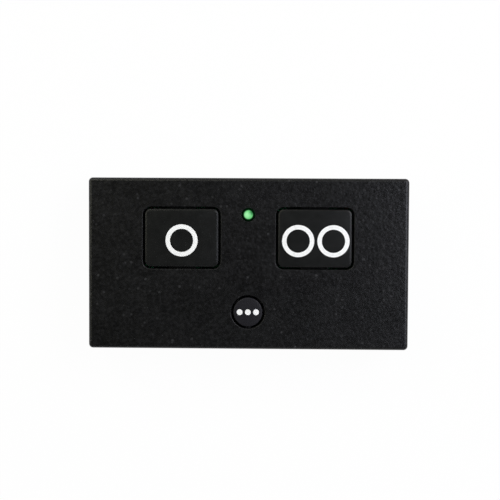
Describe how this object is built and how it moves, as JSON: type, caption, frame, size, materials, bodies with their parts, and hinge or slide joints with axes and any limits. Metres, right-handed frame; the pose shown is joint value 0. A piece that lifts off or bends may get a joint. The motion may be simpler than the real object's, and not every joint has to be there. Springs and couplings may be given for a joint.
{
  "type": "three-button remote control",
  "caption": "Flat rectangular hand remote with two wide keys, a small round key, an indicator lamp and a coin cell door.",
  "frame": {"origin": "middle of the flat back, which is the middle of the bounding box's bottom face", "axes": "+Z out of the button face, +X to the right of that face, +Y to its top edge, where the indicator lamp is"},
  "size_m": [0.094, 0.0504, 0.0183],
  "materials": {
    "case_plastic": "fine pebbled grain, satin black",
    "back_plastic": "fine spark-eroded grain, matt black",
    "key_plastic": "smooth satin black",
    "round_key_plastic": "smooth satin black",
    "board_laminate": "green solder mask on glass laminate",
    "lamp_green": "clear green tinted resin, lit",
    "tinned_metal": "dull tin plate",
    "spacer_nylon": "black nylon",
    "holder_plastic": "black glass-filled nylon",
    "contact_metal": "nickel-plated spring strip",
    "cell_metal": "bright nickel-plated can",
    "screw_steel": "zinc-plated, slightly dulled",
    "chip_epoxy": "matt moulding compound",
    "crystal_metal": "drawn nickel-silver can",
    "copper_trace": "gold-flashed copper",
    "trimmer_ceramic": "moulded trimmer body",
    "resistor_ceramic": "coated ceramic",
    "capacitor_ceramic": "bare fired ceramic",
    "switch_plastic": "black moulded resin",
    "switch_metal": "stamped stainless sheet",
    "plunger_plastic": "black moulded resin"
  },
  "bodies": {
    "case": {"front_housing": "case_plastic", "rear_cover": "back_plastic", "circuit_board": "board_laminate", "indicator_led": "lamp_green", "led_leads": "tinned_metal", "led_spacer": "spacer_nylon", "battery_holder": "holder_plastic", "negative_contact": "contact_metal", "positive_contact": "contact_metal", "coin_cell": "cell_metal", "case_screws": "screw_steel", "board_screws": "screw_steel", "microcontroller": "chip_epoxy", "microcontroller_pins": "tinned_metal", "radio_chip": "chip_epoxy", "crystal": "crystal_metal", "antenna_trace": "copper_trace", "tuning_capacitor": "trimmer_ceramic", "chip_resistors": "resistor_ceramic", "chip_capacitors": "capacitor_ceramic", "left_switch_base": "switch_plastic", "left_switch_cover": "switch_metal", "left_switch_dome": "switch_metal", "left_switch_terminals": "tinned_metal", "right_switch_base": "switch_plastic", "right_switch_cover": "switch_metal", "right_switch_dome": "switch_metal", "right_switch_terminals": "tinned_metal", "round_switch_base": "switch_plastic", "round_switch_cover": "switch_metal", "round_switch_dome": "switch_metal", "round_switch_terminals": "tinned_metal"},
    "left_button": {"left_button_cap": "key_plastic", "left_switch_plunger": "plunger_plastic"},
    "right_button": {"right_button_cap": "key_plastic", "right_switch_plunger": "plunger_plastic"},
    "round_button": {"round_button_cap": "round_key_plastic", "round_switch_plunger": "plunger_plastic"},
    "door": {"battery_door": "back_plastic"}
  },
  "joints": [
    {"name": "left_button_press", "type": "slide", "parent": "case", "child": "left_button", "axis": [0, 0, -1], "range_m": [0, 0.0005], "stiffness_N_per_m": 3000, "deforming": ["left_switch_dome"]},
    {"name": "right_button_press", "type": "slide", "parent": "case", "child": "right_button", "axis": [0, 0, -1], "range_m": [0, 0.0005], "stiffness_N_per_m": 3000, "deforming": ["right_switch_dome"]},
    {"name": "round_button_press", "type": "slide", "parent": "case", "child": "round_button", "axis": [0, 0, -1], "range_m": [0, 0.0005], "stiffness_N_per_m": 3000, "deforming": ["round_switch_dome"]},
    {"name": "battery_door_slide", "type": "slide", "parent": "case", "child": "door", "axis": [0, -1, 0], "range_m": [0, 0.029]}
  ]
}
